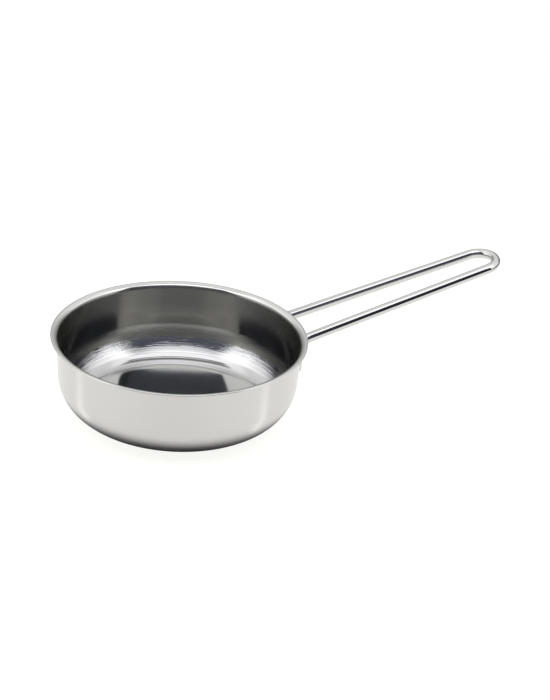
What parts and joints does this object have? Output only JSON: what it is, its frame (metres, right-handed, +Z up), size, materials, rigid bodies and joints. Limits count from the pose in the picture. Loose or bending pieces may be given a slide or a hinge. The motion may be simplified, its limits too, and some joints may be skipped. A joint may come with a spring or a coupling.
{
  "type": "saucepan",
  "caption": "Small shallow saucepan of satin steel sheet with a flared pouring lip, and a long looped handle of polished wire welded to its wall.",
  "frame": {"origin": "centre of the flat base, on the surface that the pan stands on", "axes": "+X along the handle, away from the bowl; +Z up; +Y to the right of a person who holds the handle and faces the bowl"},
  "size_m": [0.2457, 0.1244, 0.0536],
  "materials": {
    "satin_steel": "satin stainless sheet with fine brushing and turning rings on the floor",
    "polished_steel": "mirror-polished stainless wire",
    "weld_steel": "dull weld metal"
  },
  "bodies": {
    "root": {"pan_body": "satin_steel", "handle_wire": "polished_steel", "weld_left_upper": "weld_steel", "weld_left_lower": "weld_steel", "weld_right_upper": "weld_steel", "weld_right_lower": "weld_steel"}
  },
  "joints": []
}
